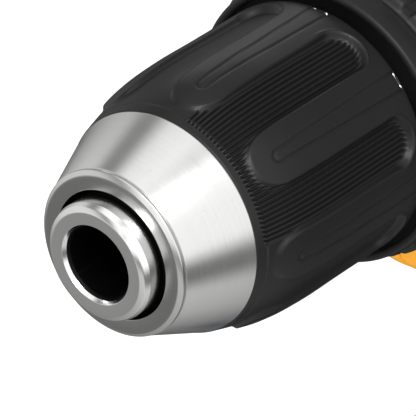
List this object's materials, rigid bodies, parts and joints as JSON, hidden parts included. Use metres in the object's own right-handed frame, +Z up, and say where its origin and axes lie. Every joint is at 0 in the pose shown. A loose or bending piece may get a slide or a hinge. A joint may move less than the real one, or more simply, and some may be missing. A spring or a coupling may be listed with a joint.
{
  "type": "cordless drill",
  "caption": "Pistol-grip cordless drill driver with a keyless chuck, torque collar, two-speed gearbox and slide-on battery pack.",
  "frame": {"origin": "middle of the battery pack's underside, on the surface that the drill stands on", "axes": "+Z up, the chuck points along -Y, +X is the drill's left-hand side seen from behind"},
  "size_m": [0.0925, 0.205, 0.2164],
  "materials": {
    "steel": "satin turned steel",
    "dark_steel": "hardened steel, dull",
    "black_nylon": "black glass-filled nylon, fine moulded grain",
    "yellow_nylon": "amber yellow nylon, fine moulded grain",
    "grip_rubber": "soft overmoulded rubber, matt",
    "sintered_iron": "sintered, oiled",
    "copper": "enamelled copper windings and commutator",
    "lamp_lens": "clear moulded lens",
    "cell_wrap": "shrink wrap",
    "spring_steel": "drawn wire"
  },
  "bodies": {
    "housing": {"housing_left": "yellow_nylon", "housing_right": "yellow_nylon", "grip_left": "grip_rubber", "grip_right": "grip_rubber", "lamp_lens": "lamp_lens", "gear_case": "black_nylon", "spindle_bearing": "steel", "clutch_plate": "dark_steel", "clutch_spring": "spring_steel", "ring_gear_1": "sintered_iron", "ring_gear_3": "sintered_iron", "motor_plate": "black_nylon", "motor_can": "steel", "motor_end_cap": "black_nylon", "trigger_switch": "black_nylon", "trigger_spring": "spring_steel", "terminal_block": "black_nylon", "belt_hook": "dark_steel", "belt_hook_screw": "dark_steel", "housing_screw_1": "dark_steel", "housing_screw_2": "dark_steel", "housing_screw_3": "dark_steel"},
    "motor_armature": {"armature": "copper", "motor_pinion": "dark_steel", "cooling_fan": "black_nylon"},
    "first_carrier": {"carrier_1": "sintered_iron"},
    "second_carrier": {"carrier_2": "sintered_iron"},
    "output_spindle": {"spindle": "steel", "output_carrier": "sintered_iron", "chuck_body": "steel", "chuck_screw": "dark_steel", "chuck_rear_plate": "steel"},
    "first_planet_a": {"planet_1a": "sintered_iron"},
    "first_planet_b": {"planet_1b": "sintered_iron"},
    "first_planet_c": {"planet_1c": "sintered_iron"},
    "second_planet_a": {"planet_2a": "sintered_iron"},
    "second_planet_b": {"planet_2b": "sintered_iron"},
    "second_planet_c": {"planet_2c": "sintered_iron"},
    "third_planet_a": {"planet_3a": "sintered_iron"},
    "third_planet_b": {"planet_3b": "sintered_iron"},
    "third_planet_c": {"planet_3c": "sintered_iron"},
    "chuck_sleeve": {"grip_sleeve": "black_nylon", "nose_cone": "steel", "jaw_nut": "dark_steel", "thrust_bearing": "steel"},
    "first_jaw": {"chuck_jaw_1": "dark_steel"},
    "second_jaw": {"chuck_jaw_2": "dark_steel"},
    "third_jaw": {"chuck_jaw_3": "dark_steel"},
    "clutch_collar": {"torque_collar": "black_nylon"},
    "clutch_adjuster": {"clutch_nut": "black_nylon"},
    "gear_shift": {"speed_selector": "black_nylon", "shift_fork": "dark_steel", "ring_gear_2": "sintered_iron"},
    "trigger_button": {"trigger": "black_nylon"},
    "direction_button": {"direction_selector": "black_nylon"},
    "battery_pack": {"battery_tray": "black_nylon", "battery_lid": "black_nylon", "cell_pack": "cell_wrap", "latch_spring": "spring_steel"},
    "battery_latch": {"latch_button": "yellow_nylon"}
  },
  "joints": [
    {"name": "motor_spin", "type": "hinge", "parent": "housing", "child": "motor_armature", "pos_m": [0, 0, 0.18], "axis": [0, 1, 0], "continuous": true},
    {"name": "first_carrier_spin", "type": "hinge", "parent": "housing", "child": "first_carrier", "pos_m": [0, 0, 0.18], "axis": [0, 1, 0], "continuous": true},
    {"name": "second_carrier_spin", "type": "hinge", "parent": "housing", "child": "second_carrier", "pos_m": [0, 0, 0.18], "axis": [0, 1, 0], "continuous": true},
    {"name": "spindle_spin", "type": "hinge", "parent": "housing", "child": "output_spindle", "pos_m": [0, 0, 0.18], "axis": [0, 1, 0], "continuous": true},
    {"name": "planet_1a_spin", "type": "hinge", "parent": "first_carrier", "child": "first_planet_a", "pos_m": [0, 0, 0.19334], "axis": [0, 1, 0], "continuous": true},
    {"name": "planet_1b_spin", "type": "hinge", "parent": "first_carrier", "child": "first_planet_b", "pos_m": [-0.01155, 0, 0.17333], "axis": [0, 1, 0], "continuous": true},
    {"name": "planet_1c_spin", "type": "hinge", "parent": "first_carrier", "child": "first_planet_c", "pos_m": [0.01155, 0, 0.17333], "axis": [0, 1, 0], "continuous": true},
    {"name": "planet_2a_spin", "type": "hinge", "parent": "second_carrier", "child": "second_planet_a", "pos_m": [0, 0, 0.19334], "axis": [0, 1, 0], "continuous": true},
    {"name": "planet_2b_spin", "type": "hinge", "parent": "second_carrier", "child": "second_planet_b", "pos_m": [-0.01155, 0, 0.17333], "axis": [0, 1, 0], "continuous": true},
    {"name": "planet_2c_spin", "type": "hinge", "parent": "second_carrier", "child": "second_planet_c", "pos_m": [0.01155, 0, 0.17333], "axis": [0, 1, 0], "continuous": true},
    {"name": "planet_3a_spin", "type": "hinge", "parent": "output_spindle", "child": "third_planet_a", "pos_m": [0, 0, 0.19334], "axis": [0, 1, 0], "continuous": true},
    {"name": "planet_3b_spin", "type": "hinge", "parent": "output_spindle", "child": "third_planet_b", "pos_m": [-0.01155, 0, 0.17333], "axis": [0, 1, 0], "continuous": true},
    {"name": "planet_3c_spin", "type": "hinge", "parent": "output_spindle", "child": "third_planet_c", "pos_m": [0.01155, 0, 0.17333], "axis": [0, 1, 0], "continuous": true},
    {"name": "sleeve_turn", "type": "hinge", "parent": "output_spindle", "child": "chuck_sleeve", "pos_m": [0, 0, 0.18], "axis": [0, 1, 0], "range_deg": [0, 3330]},
    {"name": "jaw_1_slide", "type": "slide", "parent": "output_spindle", "child": "first_jaw", "axis": [0, -0.9659, -0.2588], "range_m": [0, 0.0222]},
    {"name": "jaw_2_slide", "type": "slide", "parent": "output_spindle", "child": "second_jaw", "axis": [0.2241, -0.9659, 0.1294], "range_m": [0, 0.0222]},
    {"name": "jaw_3_slide", "type": "slide", "parent": "output_spindle", "child": "third_jaw", "axis": [-0.2241, -0.9659, 0.1294], "range_m": [0, 0.0222]},
    {"name": "collar_turn", "type": "hinge", "parent": "housing", "child": "clutch_collar", "pos_m": [0, 0, 0.18], "axis": [0, 1, 0], "range_deg": [0, 300]},
    {"name": "clutch_nut_slide", "type": "slide", "parent": "housing", "child": "clutch_adjuster", "axis": [0, 1, 0], "range_m": [0, 0.0024], "deforming": ["clutch_spring"]},
    {"name": "selector_slide", "type": "slide", "parent": "housing", "child": "gear_shift", "axis": [0, 1, 0], "range_m": [0, 0.0044]},
    {"name": "trigger_pull", "type": "slide", "parent": "housing", "child": "trigger_button", "axis": [0, 1, 0], "range_m": [0, 0.0068], "stiffness_N_per_m": 400, "springref_m": -0.005, "deforming": ["trigger_spring"]},
    {"name": "direction_shift", "type": "slide", "parent": "housing", "child": "direction_button", "axis": [1, 0, 0], "range_m": [-0.003, 0.003]},
    {"name": "battery_slide", "type": "slide", "parent": "housing", "child": "battery_pack", "axis": [0, -1, 0], "range_m": [0, 0.1]},
    {"name": "latch_press", "type": "slide", "parent": "battery_pack", "child": "battery_latch", "axis": [0, 1, 0], "range_m": [0, 0.003], "stiffness_N_per_m": 600, "springref_m": -0.003, "deforming": ["latch_spring"]}
  ],
  "couplings": [
    {"joint": "first_carrier_spin", "follows": "motor_spin", "ratio": 0.28571},
    {"joint": "second_carrier_spin", "follows": "motor_spin", "ratio": 0.081633},
    {"joint": "spindle_spin", "follows": "motor_spin", "ratio": 0.023324},
    {"joint": "planet_1a_spin", "follows": "motor_spin", "ratio": -0.95238},
    {"joint": "planet_1b_spin", "follows": "motor_spin", "ratio": -0.95238},
    {"joint": "planet_1c_spin", "follows": "motor_spin", "ratio": -0.95238},
    {"joint": "planet_2a_spin", "follows": "motor_spin", "ratio": -0.27211},
    {"joint": "planet_2b_spin", "follows": "motor_spin", "ratio": -0.27211},
    {"joint": "planet_2c_spin", "follows": "motor_spin", "ratio": -0.27211},
    {"joint": "planet_3a_spin", "follows": "motor_spin", "ratio": -0.077745},
    {"joint": "planet_3b_spin", "follows": "motor_spin", "ratio": -0.077745},
    {"joint": "planet_3c_spin", "follows": "motor_spin", "ratio": -0.077745},
    {"joint": "jaw_1_slide", "follows": "sleeve_turn", "m_per_rad": 0.00038197},
    {"joint": "jaw_2_slide", "follows": "sleeve_turn", "m_per_rad": 0.00038197},
    {"joint": "jaw_3_slide", "follows": "sleeve_turn", "m_per_rad": 0.00038197},
    {"joint": "clutch_nut_slide", "follows": "collar_turn", "m_per_rad": 0.00045837}
  ]
}
